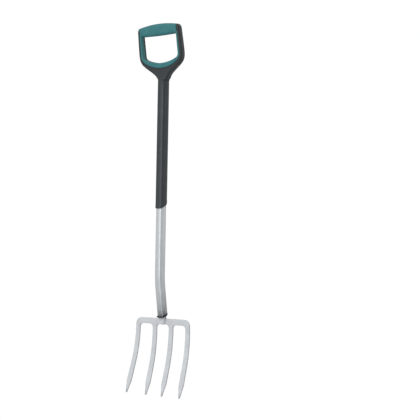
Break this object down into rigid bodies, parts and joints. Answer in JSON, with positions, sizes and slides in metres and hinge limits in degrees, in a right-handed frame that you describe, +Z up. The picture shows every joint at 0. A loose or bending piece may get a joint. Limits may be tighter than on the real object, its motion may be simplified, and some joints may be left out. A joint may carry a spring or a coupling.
{
  "type": "lawn aerator fork",
  "caption": "Long-handled digging and aerating fork with a forged, forward-curved tined head, a bent rounded-triangle steel shaft, a slip-on sleeve and a soft-lined D-handle.",
  "frame": {"origin": "On the axis of the straight upper shaft, at the level of the inner tine points, where the fork meets the ground.", "axes": "+Z up the straight upper shaft to the handle, +X across the head and the D, -Y to the front, the way the tines curve."},
  "size_m": [0.2112, 0.0814, 1.167],
  "materials": {
    "coated_steel": "satin silver coat on forged steel",
    "forged_steel": "satin silver coat, slightly rough from forging",
    "weld_steel": "coated weld bead, rippled",
    "fastener_steel": "zinc-plated",
    "black_nylon": "moulded, fine matt",
    "galvanised_tube": "drawn tube, satin",
    "sleeve_plastic": "fine-textured moulding",
    "handle_plastic": "fine-textured moulding",
    "soft_teal": "soft-touch overmoulding"
  },
  "bodies": {
    "root": {"fork_head": "coated_steel", "head_tang": "forged_steel", "tang_weld": "weld_steel", "tang_rivet": "fastener_steel", "tube_end_plug": "black_nylon", "shaft_tube": "galvanised_tube", "shaft_sleeve": "sleeve_plastic", "handle_frame": "handle_plastic", "handle_screws": "fastener_steel", "soft_grip": "soft_teal"}
  },
  "joints": []
}
